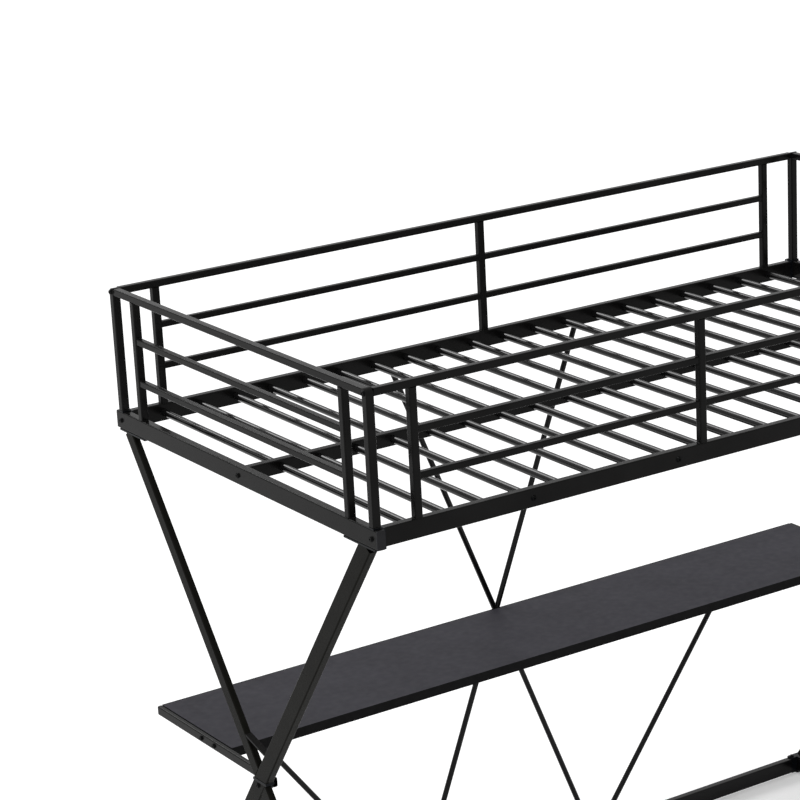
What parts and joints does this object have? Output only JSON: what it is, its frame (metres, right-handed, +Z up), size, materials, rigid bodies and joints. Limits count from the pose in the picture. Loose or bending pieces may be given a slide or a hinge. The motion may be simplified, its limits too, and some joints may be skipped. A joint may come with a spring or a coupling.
{
  "type": "loft bed with desk",
  "caption": "Metal loft bed with guard rails, a slatted deck on crossed legs, a ladder and a shallow full-width desk underneath.",
  "frame": {"origin": "on the floor, under the middle of the outer box", "axes": "+X to the right along the bed's length, +Y to the back, where the desk is, +Z up; the ladder is at the right front"},
  "size_m": [2.013, 1.116, 1.7625],
  "materials": {
    "frame_steel": "satin near-black powder coat",
    "bracket_steel": "satin blue-black powder coat",
    "desk_laminate": "matte charcoal laminate on board",
    "black_plastic": "matte moulded",
    "bolt_steel": "black zinc, semi-gloss"
  },
  "bodies": {
    "root": {"left_front_post": "frame_steel", "left_back_post": "frame_steel", "right_front_post": "frame_steel", "right_back_post": "frame_steel", "left_top_rail": "frame_steel", "right_top_rail": "frame_steel", "left_uprights": "frame_steel", "right_uprights": "frame_steel", "left_guard_bars": "frame_steel", "right_guard_bars": "frame_steel", "left_deck_rail": "frame_steel", "right_deck_rail": "frame_steel", "back_top_rail": "frame_steel", "back_uprights": "frame_steel", "back_guard_bars": "frame_steel", "front_top_rail": "frame_steel", "front_uprights": "frame_steel", "front_guard_bars": "frame_steel", "guard_end_post": "frame_steel", "front_side_rail": "frame_steel", "back_side_rail": "frame_steel", "centre_beam": "frame_steel", "slats": "frame_steel", "upper_corner_brackets": "bracket_steel", "post_base_plates": "bracket_steel", "left_upper_main_leg": "frame_steel", "left_upper_cross_leg": "frame_steel", "left_lower_main_leg": "frame_steel", "left_lower_cross_leg": "frame_steel", "right_upper_main_leg": "frame_steel", "right_upper_cross_leg": "frame_steel", "right_lower_main_leg": "frame_steel", "right_lower_cross_leg": "frame_steel", "leg_joint_sleeves": "bracket_steel", "leg_joint_plates": "bracket_steel", "leg_tie_bars": "frame_steel", "floor_rails": "frame_steel", "back_stretcher": "frame_steel", "lower_corner_brackets": "bracket_steel", "foot_glides": "black_plastic", "tube_end_caps": "black_plastic", "long_brace_rod": "frame_steel", "short_brace_rods": "frame_steel", "desk_rods": "frame_steel", "desk_rod_plates": "bracket_steel", "desk_board": "desk_laminate", "desk_back_rim": "frame_steel", "left_desk_arm": "frame_steel", "right_desk_arm": "frame_steel", "desk_arm_spacers": "bracket_steel", "ladder_left_rail": "frame_steel", "ladder_right_rail": "frame_steel", "ladder_rungs": "frame_steel", "guard_bolts": "bolt_steel", "deck_corner_bolts": "bolt_steel", "side_rail_bolts": "bolt_steel", "desk_bolts": "bolt_steel", "leg_joint_bolts": "bolt_steel", "stretcher_bolts": "bolt_steel", "ladder_bolts": "bolt_steel"}
  },
  "joints": []
}
